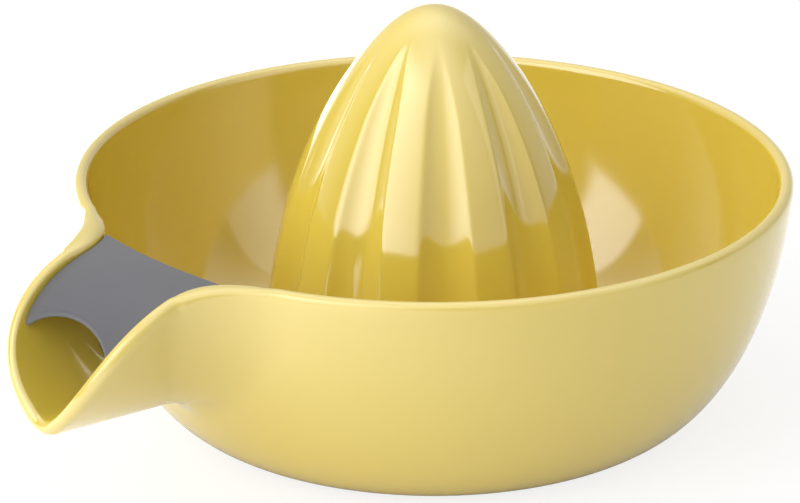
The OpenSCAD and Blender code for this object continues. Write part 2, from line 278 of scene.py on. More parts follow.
def moulding(name, columns, ends):
    """Closed mesh from a ring of columns, with a point in the middle of each end."""
    count, rows = columns.shape[:2]
    verts = np.concatenate([columns.reshape(-1, 3), ends]) * (-MM, MM, MM)
    low, high = count * rows, count * rows + 1
    faces = []
    for i in range(count):
        a, b = i * rows, (i + 1) % count * rows
        faces.append((low, a, b))
        faces += [(a + k, a + k + 1, b + k + 1, b + k) for k in range(rows - 1)]
        faces.append((a + rows - 1, high, b + rows - 1))
    return smooth_piece(name, verts, faces)


# The flat parts as rings of points, each a radius and a height: under the bowl from the middle
# out, then over the floor from the wall in, with the low ring that locates the reamer
UNDERSIDE_RINGS = ((8, 0), (24, 0), (36, 0), (41, 0))
LOCATING_R = 27.1
LOCATING_INNER_R = 24.7
LOCATING_TOP = 6.0
LOCATING_DRAFT = 0.02
FLOOR_RINGS = (
    (40, FLOOR_Z),
    (34, FLOOR_Z),
    (LOCATING_R, FLOOR_Z),
    (LOCATING_R - LOCATING_DRAFT, LOCATING_TOP),
    (LOCATING_INNER_R, LOCATING_TOP),
    (LOCATING_INNER_R - LOCATING_DRAFT, FLOOR_Z),
    (18, FLOOR_Z),
    (8, FLOOR_Z),
)


def bowl_columns():
    """Points down each column, from the underside over the lip to the floor."""
    outer, inner, facing, bowl_start = lip_stations()
    count = len(outer)
    i = np.arange(count)
    spread = count - 1 - BOWL_COLUMNS
    # The spout's columns share the angle up to the bowl's rim, and the bowl's keep their own
    own = np.where(
        i < spread,
        bowl_start * i / spread,
        mix(bowl_start, pi, (i - spread) / BOWL_COLUMNS),
    )
    turn = mix(pi * i / (count - 1), own, FOOT_ORDER)
    middle, across = (outer + inner) / 2, (outer - inner) / 2
    rise = facing * np.minimum(np.linalg.norm(across, axis=1, keepdims=True), HALF_WALL)
    over = [
        middle + across * cos(a) + rise * sin(a)
        for a in (pi * k / LIP_STEPS for k in range(1, LIP_STEPS))
    ]
    down = wall_columns(OUTSIDE, outer, turn)[:, ::-1]
    way = np.stack([np.cos(turn), np.sin(turn), 0 * turn], -1)

    under, floor = (
        np.stack([r * way + np.array([0, 0, z]) for r, z in rings], 1)
        for rings in (UNDERSIDE_RINGS, FLOOR_RINGS)
    )
    half = np.concatenate(
        [under, down, np.stack(over, 1), wall_columns(INSIDE, inner, turn), floor],
        1,
    )
    other = half[-2:0:-1] * (1, -1, 1)
    return np.concatenate([half, other])


bowl = moulding("bowl_and_spout", bowl_columns(), [(0, 0, 0), (0, 0, FLOOR_Z)])


def linear(code):
    """A colour written as an sRGB hex value, as the linear RGBA that a socket takes."""
    out = []
    for k in (0, 2, 4):
        c = int(code[k : k + 2], 16) / 255
        out.append(c / 12.92 if c <= 0.04045 else ((c + 0.055) / 1.055) ** 2.4)
    return (*out, 1.0)


def add(tree, kind, links=None, **settings):
    """Adds a node. links gives each input a value or another node's output."""
    node = tree.nodes.new(kind)
    for key, value in settings.items():
        setattr(node, key, value)
    for key, value in (links or {}).items():
        socket = node.inputs[key]
        if isinstance(value, bpy.types.NodeSocket):
            tree.links.new(value, socket)
        else:
            socket.default_value = value
    return node


def new_material(name):
    material = bpy.data.materials.new(name)
    material.use_nodes = True
    tree = material.node_tree
    tree.nodes.clear()
    return material, tree


# Melamine, compression moulded in a polished die: a hard, glassy skin over an opaque filled
# resin. The eye gets sharp reflections, very slightly wavy from the die's hand polish, and
# a colour that is even but for a faint clouding of the filler. The clouds are 26 mm across,
# the waves 17 mm, and the patches where it was wiped a little duller 5 mm.
CLOUDS_PER_METRE = 38.0
WAVES_PER_METRE = 60.0
WIPES_PER_METRE = 210.0
melamine, tree = new_material("melamine_lemon_yellow_moulded")
place = add(tree, "ShaderNodeTexCoord").outputs["Object"]
clouds = add(
    tree,
    "ShaderNodeTexNoise",
    {"Vector": place, "Scale": CLOUDS_PER_METRE, "Detail": 3.0, "Roughness": 0.55},
)
tint = add(
    tree,
    "ShaderNodeMix",
    {"Factor": clouds.outputs["Fac"], "A": linear("DAC14B"), "B": linear("DEC551")},
    data_type="RGBA",
)
polish = add(
    tree,
    "ShaderNodeTexNoise",
    {"Vector": place, "Scale": WAVES_PER_METRE, "Detail": 1.0},
)
ripple = add(
    tree,
    "ShaderNodeBump",
    {"Height": polish.outputs["Fac"], "Strength": 0.05, "Distance": 0.4 * MM},
)
wipe = add(
    tree,
    "ShaderNodeTexNoise",
    {"Vector": place, "Scale": WIPES_PER_METRE, "Detail": 4.0, "Roughness": 0.6},
)
gloss = add(
    tree,
    "ShaderNodeMapRange",
    {
        "Value": wipe.outputs["Fac"],
        "From Min": 0.3,
        "From Max": 0.7,
        "To Min": 0.08,
        "To Max": 0.11,
    },
)
skin_shader = add(
    tree,
    "ShaderNodeBsdfPrincipled",
    {
        "Base Color": tint.outputs["Result"],
        "Roughness": gloss.outputs["Result"],
        "Normal": ripple.outputs["Normal"],
        "IOR": 1.6,
        "Specular IOR Level": 0.9,
    },
)
add(tree, "ShaderNodeOutputMaterial", {"Surface": skin_shader.outputs["BSDF"]})
bowl.data.materials.append(melamine)
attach(bowl, "squeezer")
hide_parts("bowl")

# ------------------------------------------------------------------------------------------
# Reamer: a hollow dome of the same melamine with ten round-bottomed flutes that run out below
# its tip. It stands on the bowl's floor around a low ring. Flutes repeat and the dome follows
# one rule, so Geometry Nodes bend a grid into it: its columns go round, its rows go up.

FLUTES = 10
# Swell and Taper shape the dome. A flute takes a share of its pitch, which narrows towards the
# tip, and its depth is a share of the radius. It rises out of the dome over Flute Runout, and
# is gone at Flute Stop below the tip
REAMER_SIZES = {
    "Foot Radius": 33.3 * MM,
    "Tip Height": 83.1 * MM,
    "Floor Height": FLOOR_Z * MM,
    "Wall": 2.8 * MM,
    "Cap": 6.2 * MM,
    "Swell": 3.21,
    "Taper": 0.36,
    "Flute Share": 0.66,
    "Flute Narrowing": 0.17,
    "Flute Depth": 0.096,
    "Edge Softness": 0.26,
    "Flute Stop": 5.0 * MM,
    "Flute Runout": 14.0 * MM,
}
# The grid: columns for each flute, the share of them inside it, rows in all, and how many of
# them line the hollow
COLUMNS_PER_FLUTE = 48
IN_FLUTE_SHARE = 0.7
REAMER_ROWS = 151
HOLLOW_ROWS = 30
LAST_INSIDE = (HOLLOW_ROWS - 1) / (REAMER_ROWS - 1)
FIRST_OUTSIDE = HOLLOW_ROWS / (REAMER_ROWS - 1)
# Less than the step between columns or rows: it puts one on a border on the border's far side
NUDGE = 1e-5
REAMER_WELD = 1e-7
CREASE_ANGLE = radians(50)


def new_tree(name, counts, sizes):
    """A Geometry Nodes tree with its named inputs, and those inputs' sockets by name."""
    tree = bpy.data.node_groups.new(name, "GeometryNodeTree")
    for key in counts:
        tree.interface.new_socket(key, in_out="INPUT", socket_type="NodeSocketInt")
    for key in sizes:
        tree.interface.new_socket(key, in_out="INPUT", socket_type="NodeSocketFloat")
    tree.interface.new_socket("Finish", in_out="INPUT", socket_type="NodeSocketMaterial")
    tree.interface.new_socket("Geometry", in_out="OUTPUT", socket_type="NodeSocketGeometry")
    inputs = add(tree, "NodeGroupInput").outputs
    return tree, {socket.name: socket for socket in inputs if socket.name}


def grown(name, tree, values):
    """The plain mesh that a tree makes with these inputs, as an object."""
    seed = put_in_scene(name + "_seed", bpy.data.meshes.new(name + "_seed"))
    modifier = seed.modifiers.new("made", "NODES")
    modifier.node_group = tree
    sockets = {s.name: s.identifier for s in tree.interface.items_tree if s.in_out == "INPUT"}
    for key, value in values.items():
        modifier[sockets[key]] = value
    bpy.context.view_layer.update()
    depsgraph = bpy.context.evaluated_depsgraph_get()
    made = seed.evaluated_get(depsgraph)
    mesh = bpy.data.meshes.new_from_object(made, depsgraph=depsgraph)
    mesh.materials.clear()
    mesh.materials.append(values["Finish"])
    bpy.data.objects.remove(seed)
    mesh.name = name
    return put_in_scene(name, mesh)


reamer_tree, named = new_tree("fluted_reamer", ["Flutes"], REAMER_SIZES)
columns = add(
    reamer_tree,
    "ShaderNodeMath",
    {0: named["Flutes"], 1: COLUMNS_PER_FLUTE, 2: 1},
    operation="MULTIPLY_ADD",
)
grid = add(
    reamer_tree,
    "GeometryNodeMeshGrid",
    {"Size X": 1.0, "Size Y": 1.0, "Vertices X": columns.outputs[0], "Vertices Y": REAMER_ROWS},
)
position = add(reamer_tree, "GeometryNodeInputPosition")
at = add(reamer_tree, "ShaderNodeSeparateXYZ", {0: position.outputs[0]})
named["across"], named["upwards"] = at.outputs["X"], at.outputs["Y"]

# Each row names a result: how it is worked out, then from which numbers or earlier results
for result, operation, *terms in (
    # Rows: from the top of the hollow down to the floor, then up the outside to the tip
    ("row", "ADD", "upwards", 0.5),
    ("outside", "GREATER_THAN", "row", (LAST_INSIDE + FIRST_OUTSIDE) / 2),
    ("not first row", "GREATER_THAN", "row", NUDGE),
    ("past hollow", "SUBTRACT", "row", FIRST_OUTSIDE),
    ("climb share", "DIVIDE", "past hollow", 1 - FIRST_OUTSIDE),
    ("climb angle", "MULTIPLY", "climb share", pi / 2),
    ("climb sine", "SINE", "climb angle"),
    ("dome height", "SUBTRACT", "Tip Height", "Floor Height"),
    ("outside z", "MULTIPLY_ADD", "climb sine", "dome height", "Floor Height"),
    ("descent share", "DIVIDE", "row", LAST_INSIDE),
    ("descent angle", "MULTIPLY", "descent share", pi / 2),
    ("descent cosine", "COSINE", "descent angle"),
    ("hollow height", "SUBTRACT", "dome height", "Cap"),
    ("hollow z", "MULTIPLY_ADD", "descent cosine", "hollow height", "Floor Height"),
    ("z gap", "SUBTRACT", "outside z", "hollow z"),
    ("z", "MULTIPLY_ADD", "outside", "z gap", "hollow z"),
    # Radius over the ridges at that height
    ("above floor", "SUBTRACT", "z", "Floor Height"),
    ("rise sum", "DIVIDE", "above floor", "dome height"),
    ("rise over", "MAXIMUM", "rise sum", 0),
    ("rise", "MINIMUM", "rise over", 1),
    ("rise powered", "POWER", "rise", "Swell"),
    ("dome squared", "SUBTRACT", 1, "rise powered"),
    ("dome", "SQRT", "dome squared"),
    ("rise squared", "MULTIPLY", "rise", "rise"),
    ("lean", "MULTIPLY", "rise squared", "Taper"),
    ("upright", "SUBTRACT", 1, "lean"),
    ("domed radius", "MULTIPLY", "Foot Radius", "dome"),
    ("ridge radius", "MULTIPLY", "domed radius", "upright"),
    # Columns: from the middle of one land over the valley to the next. They follow the flute's
    # edges as it narrows towards the tip, and crowd together there to round them
    ("along", "ADD", "across", 0.5),
    ("turns", "MULTIPLY_ADD", "along", "Flutes", NUDGE),
    ("flute number", "FLOOR", "turns"),
    ("flute share", "FRACT", "turns"),
    ("from valley", "SUBTRACT", "flute share", 0.5),
    ("side", "SIGN", "from valley"),
    ("distance", "ABSOLUTE", "from valley"),
    ("evenly", "MULTIPLY", "distance", 2),
    ("in flute", "MINIMUM", "evenly", IN_FLUTE_SHARE),
    ("on land", "SUBTRACT", "evenly", "in flute"),
    ("narrowed", "MULTIPLY", "Flute Narrowing", "rise"),
    ("half width", "SUBTRACT", "Flute Share", "narrowed"),
    ("land width", "SUBTRACT", 1, "half width"),
    ("flute angle", "MULTIPLY", "in flute", pi / 2 / IN_FLUTE_SHARE),
    ("flute sine", "SINE", "flute angle"),
    ("land angle", "MULTIPLY", "on land", pi / 2 / (1 - IN_FLUTE_SHARE)),
    ("land cosine", "COSINE", "land angle"),
    ("land way", "SUBTRACT", 1, "land cosine"),
    ("over land", "MULTIPLY", "land way", "land width"),
    ("away", "MULTIPLY_ADD", "flute sine", "half width", "over land"),
    ("half away", "MULTIPLY", "away", 0.5),
    ("own share", "MULTIPLY_ADD", "side", "half away", 0.5),
    ("own turns", "ADD", "flute number", "own share"),
    ("part turned", "DIVIDE", "own turns", "Flutes"),
    ("turn", "MULTIPLY", "part turned", 2 * pi),
    ("turn cosine", "COSINE", "turn"),
    ("turn sine", "SINE", "turn"),
    # How deep the round cutter runs at that height: it rises out of the dome below the tip
    ("flute top", "SUBTRACT", "Tip Height", "Flute Stop"),
    ("below top", "SUBTRACT", "flute top", "z"),
    ("run share", "DIVIDE", "below top", "Flute Runout"),
    ("run", "MINIMUM", "run share", 1),
    ("run left", "SUBTRACT", 1, "run"),
    ("run squared", "MULTIPLY", "run left", "run left"),
    ("runout", "SUBTRACT", 1, "run squared"),
    ("width share", "DIVIDE", "half width", "Flute Share"),
    ("width squared", "MULTIPLY", "width share", "width share"),
    ("middle depth", "MULTIPLY", "width squared", "runout"),
    ("away share", "DIVIDE", "away", "Flute Share"),
    ("away squared", "MULTIPLY", "away share", "away share"),
    ("sunk", "SUBTRACT", "middle depth", "away squared"),
    ("valley", "SMOOTH_MAX", "sunk", 0, "Edge Softness"),
    ("cut", "MULTIPLY", "valley", "Flute Depth"),
    ("uncut", "SUBTRACT", 1, "cut"),
    ("outside radius", "MULTIPLY", "ridge radius", "uncut"),
    ("never cut", "SUBTRACT", 1, "Flute Depth"),
    ("valley radius", "MULTIPLY", "ridge radius", "never cut"),
    ("hollow sum", "SUBTRACT", "valley radius", "Wall"),
    ("hollow over", "MAXIMUM", "hollow sum", 0),
    ("hollow radius", "MULTIPLY", "hollow over", "not first row"),
    ("radius gap", "SUBTRACT", "outside radius", "hollow radius"),
    ("radius", "MULTIPLY_ADD", "outside", "radius gap", "hollow radius"),
    ("x", "MULTIPLY", "radius", "turn cosine"),
    ("y", "MULTIPLY", "radius", "turn sine"),
):
    links = {i: named.get(term, term) for i, term in enumerate(terms)}
    named[result] = add(reamer_tree, "ShaderNodeMath", links, operation=operation).outputs[0]

point_at = add(
    reamer_tree,
    "ShaderNodeCombineXYZ",
    {"X": named["x"], "Y": named["y"], "Z": named["z"]},
)
shaped = add(
    reamer_tree,
    "GeometryNodeSetPosition",
    {"Geometry": grid.outputs["Mesh"], "Position": point_at.outputs[0]},
)
closed = add(
    reamer_tree,
    "GeometryNodeMergeByDistance",
    {"Geometry": shaped.outputs[0], "Distance": REAMER_WELD},
)
smooth = add(reamer_tree, "GeometryNodeSetShadeSmooth", {"Geometry": closed.outputs[0]})
# The foot and the hollow's corner stay sharp
bend = add(reamer_tree, "GeometryNodeInputMeshEdgeAngle")
corner = add(
    reamer_tree,
    "ShaderNodeMath",
    {0: bend.outputs["Unsigned Angle"], 1: CREASE_ANGLE},
    operation="GREATER_THAN",
)
creased = add(
    reamer_tree,
    "GeometryNodeSetShadeSmooth",
    {"Geometry": smooth.outputs[0], "Selection": corner.outputs[0], "Shade Smooth": False},
    domain="EDGE",
)
real = add(reamer_tree, "GeometryNodeRealizeInstances", {"Geometry": creased.outputs[0]})
painted = add(
    reamer_tree,
    "GeometryNodeSetMaterial",
    {"Geometry": real.outputs[0], "Material": named["Finish"]},
)
add(reamer_tree, "NodeGroupOutput", {"Geometry": painted.outputs[0]})

reamer = grown(
    "reamer_dome",
    reamer_tree,
    {**REAMER_SIZES, "Flutes": FLUTES, "Finish": melamine},
)
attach(reamer, "squeezer")
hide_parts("reamer")

# ------------------------------------------------------------------------------------------
# Thumb rest: the top of the spout's insert, a thin saddle moulded in matt grey elastomer.
# Its sides follow the channel with a hair's clearance, its front edge is hollowed between
# two horns that run along the lips, and its edges are eased for the thumb.

# The front edge stays back from the spout's tip, and runs forward at the sides by REST_SWEEP
# times the distance from the middle squared. The top is crowned across, less so at the back
REST_T = 1.2
REST_BACK_R = RIM_R - HALF_WALL
REST_SETBACK = 9.2
REST_FRONT_U = TIP_U + HALF_WALL - REST_SETBACK
REST_SWEEP = 0.0155
REST_CROWN = 1.3
REST_BACK_CROWN = REST_CROWN / 3
INSERT_GAP = 0.3
REST_EASE = 0.35
REST_ROWS = 44
REST_COLUMNS = 60


def channel_half(u, z):
    """Half of the channel's width at u and height z, less the insert's clearance."""
    middle = np.stack([u, 0 * u, z], -1)
    side = np.stack([u, 0 * u + SPOUT_HALF + HALF_WALL, z], -1)
    return reach(INSIDE, middle, side)[..., 1] - INSERT_GAP


def rest_face(below):
    """Grid of points this far below the thumb rest's top, from its back to its front."""
    s = np.linspace(0, 1, REST_ROWS + 1)[:, None]
    q = np.linspace(-1, 1, REST_COLUMNS + 1)[None]
    rough_u = mix(REST_BACK_R, REST_FRONT_U, s)
    w = q * channel_half(rough_u, lip_height(rough_u))
    u = mix(np.sqrt(REST_BACK_R**2 - w * w), REST_FRONT_U + REST_SWEEP * w * w, s)
    z = lip_height(u) + mix(REST_BACK_CROWN, REST_CROWN, s) * (1 - q * q) - below
    return np.stack([-u, q * channel_half(u, z), z], -1) * MM


def slab(name, top, bottom):
    """Closed mesh between two grids of points of the same size."""
    n, m = top.shape[:2]
    verts = np.concatenate([top.reshape(-1, 3), bottom.reshape(-1, 3)])
    under = n * m
    faces = []
    for i in range(n - 1):
        for k in range(m - 1):
            a = i * m + k
            faces.append((a + 1, a + m + 1, a + m, a))
            faces.append((a + under, a + under + m, a + under + m + 1, a + under + 1))
    index = np.arange(n * m).reshape(n, m)
    edge = [*index[0], *index[1:, -1], *index[-1, -2::-1], *index[-2:0:-1, 0]]
    for a, b in zip(edge, edge[1:] + edge[:1]):
        faces.append((a, a + under, b + under, b))
    return smooth_piece(name, verts, faces)


EASED_FROM = radians(35)


def ease_edges(obj, width):
    """Rounds an object's sharp edges."""
    bevel = obj.modifiers.new("eased_edges", "BEVEL")
    bevel.width = width
    bevel.segments = 3
    bevel.limit_method = "ANGLE"
    bevel.angle_limit = EASED_FROM


rest = slab("thumb_rest", rest_face(0), rest_face(REST_T))
ease_edges(rest, REST_EASE * MM)

# Thermoplastic elastomer, injection moulded in a spark-eroded die: a soft, dry skin. The eye
# gets a broad, dull sheen without any mirror image, a slight mottling 8 mm across, and no
# colour but a breath of violet. The die's grain is about 0.1 mm, and is drawn 0.5 mm wide so
# that it shows.
MOTTLES_PER_METRE = 120.0
GRAINS_PER_METRE = 1900.0
elastomer, tree = new_material("elastomer_grey_spark_eroded")
place = add(tree, "ShaderNodeTexCoord").outputs["Object"]
mottle = add(
    tree,
    "ShaderNodeTexNoise",
    {"Vector": place, "Scale": MOTTLES_PER_METRE, "Detail": 4.0},
)
tint = add(
    tree,
    "ShaderNodeMix",
    {"Factor": mottle.outputs["Fac"], "A": linear("56565A"), "B": linear("5C5C60")},
    data_type="RGBA",
)
grain = add(
    tree,
    "ShaderNodeTexNoise",
    {"Vector": place, "Scale": GRAINS_PER_METRE, "Detail": 2.0},
)
rough = add(
    tree,
    "ShaderNodeBump",
    {"Height": grain.outputs["Fac"], "Strength": 0.25, "Distance": 0.15 * MM},
)
elastomer_shader = add(
    tree,
    "ShaderNodeBsdfPrincipled",
    {
        "Base Color": tint.outputs["Result"],
        "Roughness": 0.42,
        "Normal": rough.outputs["Normal"],
        "IOR": 1.5,
        "Specular IOR Level": 0.4,
    },
)
add(tree, "ShaderNodeOutputMaterial", {"Surface": elastomer_shader.outputs["BSDF"]})
rest.data.materials.append(elastomer)
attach(rest, "insert")
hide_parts("spout_strainer")

# ------------------------------------------------------------------------------------------
# Pip comb: the lower half of the same moulding. It hangs from the thumb rest across the
# channel, and its teeth hold the pips back as the juice runs between them. The teeth repeat,
# so Geometry Nodes lay a grid over the channel's section and leave the slots out.

COMB_T = 2.0
COMB_EASE = 0.3
# It hangs 1 mm nearer the tip than where the throat's rounds end. Its root is buried in the
# thumb rest by a share of the rest's thickness, and its ends are where the channel's side is
# COMB_SHOULDER below the rim
THROAT_R = INSIDE["lip_round"]
LIP_R = float(round_wall(INSIDE, np.array(LIP_Z)))
PAST_THROAT = 1.0
THROAT_U = sqrt((LIP_R + THROAT_R) ** 2 - (SPOUT_HALF - HALF_WALL + THROAT_R) ** 2)
COMB_U = THROAT_U + PAST_THROAT
COMB_TOP = float(lip_height(COMB_U))
ROOT_BURIED = 0.35
COMB_FALL = 1 + SPOUT_FALL * (TIP_U - COMB_U - COMB_T)
COMB_KEEL_R = KEEL_R - HALF_WALL - INSERT_GAP
COMB_SIDE_R = SIDE_R - HALF_WALL - INSERT_GAP
COMB_SHOULDER = 3.3
COMB_SIZES = {
    "Tooth Width": 1.8 * MM,
    "Slot Width": 2.2 * MM,
    "Front": COMB_U * MM,
    "Thickness": COMB_T * MM,
    "Root Height": (COMB_TOP - REST_T * ROOT_BURIED) * MM,
    "Slot Height": (COMB_TOP - REST_T - COMB_T) * MM,
    "Half Width": (sqrt(COMB_SIDE_R**2 - COMB_SHOULDER**2) - SIDE_BACK) * MM,
    "Rim Height": RIM_Z * MM,
    "Keel Radius": COMB_KEEL_R * MM,
    "Keel Depth": -KEEL_Y * MM,
    "Keel Half": COMB_KEEL_R * sin(KEEL_TURN) * MM,
    "Side Radius": COMB_SIDE_R * MM,
    "Side Back": SIDE_BACK * MM,
    "Fall": COMB_FALL,
}
SLOT_PAIRS = 3
# The grid: columns for each pitch of tooth and slot, columns outside the last slots, rows, the
# share of the rows above the slots, and how far a slot's edge is from its middle in a pitch
COLUMNS_PER_PITCH = 8
END_COLUMNS = 6
COMB_ROWS = 13
ROOT_SHARE = 1 / 3
SLOT_EDGE = 0.25
# Where the comb is short, near its ends, the least height of the teeth as a share of it
LEAST_TOOTH = 0.4
COMB_WELD = 1e-6

comb_tree, named = new_tree("pip_comb", ["Slot Pairs"], COMB_SIZES)
for result, operation, *terms in (
    ("half count", "MULTIPLY_ADD", "Slot Pairs", COLUMNS_PER_PITCH, END_COLUMNS),
    ("column count", "MULTIPLY_ADD", "half count", 2, 1),
):
    links = {i: named.get(term, term) for i, term in enumerate(terms)}
    named[result] = add(comb_tree, "ShaderNodeMath", links, operation=operation).outputs[0]
grid = add(
    comb_tree,
    "GeometryNodeMeshGrid",
    {
        "Size X": 2.0,
        "Size Y": 1.0,
        "Vertices X": named["column count"],
        "Vertices Y": COMB_ROWS,
    },
)
position = add(comb_tree, "GeometryNodeInputPosition")
at = add(comb_tree, "ShaderNodeSeparateXYZ", {0: position.outputs[0]})
named["sideways"], named["upwards"] = at.outputs["X"], at.outputs["Y"]
for result, operation, *terms in (
    # Columns: whole pitches of slot and tooth to each side, then the last tooth's end
    ("side", "SIGN", "sideways"),
    ("outwards", "ABSOLUTE", "sideways"),
    ("column", "MULTIPLY", "outwards", "half count"),
    ("pitches run", "DIVIDE", "column", COLUMNS_PER_PITCH),
    ("pitches", "MINIMUM", "pitches run", "Slot Pairs"),
    ("pitch number", "FLOOR", "pitches"),
    ("pitch share", "FRACT", "pitches"),
    ("from slot", "SUBTRACT", "pitch share", 0.5),
    ("off slot", "ABSOLUTE", "from slot"),
    ("slot part", "MINIMUM", "off slot", SLOT_EDGE),
    ("tooth part", "SUBTRACT", "off slot", "slot part"),
    ("slot spread", "MULTIPLY", "slot part", 0.5 / SLOT_EDGE),
    ("tooth spread", "MULTIPLY", "tooth part", 0.5 / (0.5 - SLOT_EDGE)),
    ("slot way", "MULTIPLY", "slot spread", "Slot Width"),
    ("way off slot", "MULTIPLY_ADD", "tooth spread", "Tooth Width", "slot way"),
    ("slot side", "SIGN", "from slot"),
    ("pitch", "ADD", "Tooth Width", "Slot Width"),
    ("half way", "ADD", "pitch number", 0.5),
    ("slot middle", "MULTIPLY", "half way", "pitch"),
    ("in pitches", "MULTIPLY_ADD", "slot side", "way off slot", "slot middle"),
    ("end columns", "SUBTRACT", "pitches run", "Slot Pairs"),
    ("end share", "MULTIPLY", "end columns", COLUMNS_PER_PITCH / END_COLUMNS),
    ("end over", "MAXIMUM", "end share", 0),
    ("slots width", "MULTIPLY", "Slot Pairs", "pitch"),
    ("end width", "SUBTRACT", "Half Width", "slots width"),
    ("in pitches over", "MINIMUM", "in pitches", "slots width"),
    ("w", "MULTIPLY_ADD", "end over", "end width", "in pitches over"),
    # Lower edge: the channel's section, less the clearance
    ("w squared", "MULTIPLY", "w", "w"),
    ("keel radius squared", "MULTIPLY", "Keel Radius", "Keel Radius"),
    ("keel left", "SUBTRACT", "keel radius squared", "w squared"),
    ("keel over", "MAXIMUM", "keel left", 0),
    ("keel drop", "SQRT", "keel over"),
    ("keel depth", "ADD", "Keel Depth", "keel drop"),
    ("from side centre", "ADD", "w", "Side Back"),
    ("side run squared", "MULTIPLY", "from side centre", "from side centre"),
    ("side radius squared", "MULTIPLY", "Side Radius", "Side Radius"),
    ("side left", "SUBTRACT", "side radius squared", "side run squared"),
    ("side depth", "SQRT", "side left"),
    ("on side", "GREATER_THAN", "w", "Keel Half"),
    ("depth gap", "SUBTRACT", "side depth", "keel depth"),
    ("depth", "MULTIPLY_ADD", "on side", "depth gap", "keel depth"),
    ("fallen", "MULTIPLY", "depth", "Fall"),
    ("low z", "SUBTRACT", "Rim Height", "fallen"),
    # Rows: the root down to the slots' arched tops, then the teeth
    ("half slot", "MULTIPLY", "Slot Width", 0.5),
    ("half slot squared", "MULTIPLY", "half slot", "half slot"),
    ("off squared", "MULTIPLY", "way off slot", "way off slot"),
    ("arch left", "SUBTRACT", "half slot squared", "off squared"),
    ("arch over", "MAXIMUM", "arch left", 0),
    ("arch", "SQRT", "arch over"),
    ("slot base", "SUBTRACT", "Slot Height", "half slot"),
    ("arch z", "ADD", "slot base", "arch"),
    ("whole height", "SUBTRACT", "Root Height", "low z"),
    ("short z", "MULTIPLY_ADD", "whole height", LEAST_TOOTH, "low z"),
    ("split z", "MAXIMUM", "arch z", "short z"),
    ("down", "SUBTRACT", 0.5, "upwards"),
    ("root run", "DIVIDE", "down", ROOT_SHARE),
    ("root share", "MINIMUM", "root run", 1),
    ("past root", "SUBTRACT", "down", ROOT_SHARE),
    ("tooth run", "DIVIDE", "past root", 1 - ROOT_SHARE),
    ("tooth share", "MAXIMUM", "tooth run", 0),
    ("root drop", "SUBTRACT", "Root Height", "split z"),
    ("tooth drop", "SUBTRACT", "split z", "low z"),
    ("root fallen", "MULTIPLY", "root drop", "root share"),
    ("tooth fallen", "MULTIPLY", "tooth drop", "tooth share"),
    ("below root", "SUBTRACT", "Root Height", "root fallen"),
    ("z", "SUBTRACT", "below root", "tooth fallen"),
    ("x", "MULTIPLY", "Front", -1),
    ("other side", "MULTIPLY", "side", -1),
    ("y", "MULTIPLY", "w", "other side"),
    # Faces whose middle is in a slot, below its arch
    ("in a slot", "LESS_THAN", "off slot", SLOT_EDGE),
    ("in the teeth", "GREATER_THAN", "down", ROOT_SHARE),
    ("before the end", "LESS_THAN", "pitches run", "Slot Pairs"),
    ("slot and teeth", "MULTIPLY", "in a slot", "in the teeth"),
    ("left out", "MULTIPLY", "slot and teeth", "before the end"),
    ("back", "MULTIPLY", "Thickness", -1),
):
    links = {i: named.get(term, term) for i, term in enumerate(terms)}
    named[result] = add(comb_tree, "ShaderNodeMath", links, operation=operation).outputs[0]

toothed = add(
    comb_tree,
    "GeometryNodeDeleteGeometry",
    {"Geometry": grid.outputs["Mesh"], "Selection": named["left out"]},
    domain="FACE",
)
point_at = add(
    comb_tree,
    "ShaderNodeCombineXYZ",
    {"X": named["x"], "Y": named["y"], "Z": named["z"]},
)
shaped = add(
    comb_tree,
    "GeometryNodeSetPosition",
    {"Geometry": toothed.outputs[0], "Position": point_at.outputs[0]},
)
through = add(comb_tree, "ShaderNodeCombineXYZ", {"X": named["back"]})
thick = add(
    comb_tree,
    "GeometryNodeExtrudeMesh",
    {"Mesh": shaped.outputs[0], "Offset": through.outputs[0], "Individual": False},
)
reverse = add(comb_tree, "GeometryNodeFlipFaces", {"Mesh": shaped.outputs[0]})
both_faces = add(comb_tree, "GeometryNodeJoinGeometry")
comb_tree.links.new(thick.outputs["Mesh"], both_faces.inputs[0])
comb_tree.links.new(reverse.outputs[0], both_faces.inputs[0])
closed = add(
    comb_tree,
    "GeometryNodeMergeByDistance",
    {"Geometry": both_faces.outputs[0], "Distance": COMB_WELD},
)
smooth = add(comb_tree, "GeometryNodeSetShadeSmooth", {"Geometry": closed.outputs[0]})
real = add(comb_tree, "GeometryNodeRealizeInstances", {"Geometry": smooth.outputs[0]})
painted = add(
    comb_tree,
    "GeometryNodeSetMaterial",
    {"Geometry": real.outputs[0], "Material": named["Finish"]},
)
add(comb_tree, "NodeGroupOutput", {"Geometry": painted.outputs[0]})

comb = grown(
    "pip_comb",
    comb_tree,
    {**COMB_SIZES, "Slot Pairs": SLOT_PAIRS, "Finish": elastomer},
)
ease_edges(comb, COMB_EASE * MM)
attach(comb, "insert")
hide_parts("spout_strainer")

# ------------------------------------------------------------------------------------------
# Studio: a white paper floor in a pale room, with a tall diffuser to the left of the camera
# and a small soft box on the right. The camera sees the paper plain white; a gloss sees a
# painted glow on it, brighter on the left, with painted shade near the squeezer. For all other
# light it is matt.

# The way the camera looks over the table, and its right
LOOK = Vector((0.6561, 0.7547, 0))
RIGHT = Vector((LOOK.y, -LOOK.x, 0))

# The paper, in metres: half its size, how bright the camera sees it, where its left and right
# are, how bright the painted glow that a gloss sees is there, and how close by the squeezer
# its painted shade reaches
PAPER_HALF = 6.0
PAPER_SEEN = 0.82
PAPER_LEFT = -0.11
PAPER_RIGHT = 0.09
PAINTED_GLOW_LEFT = 2.5
PAINTED_GLOW_RIGHT = 1.1
PAINTED_SHADE_WITHIN = 0.12

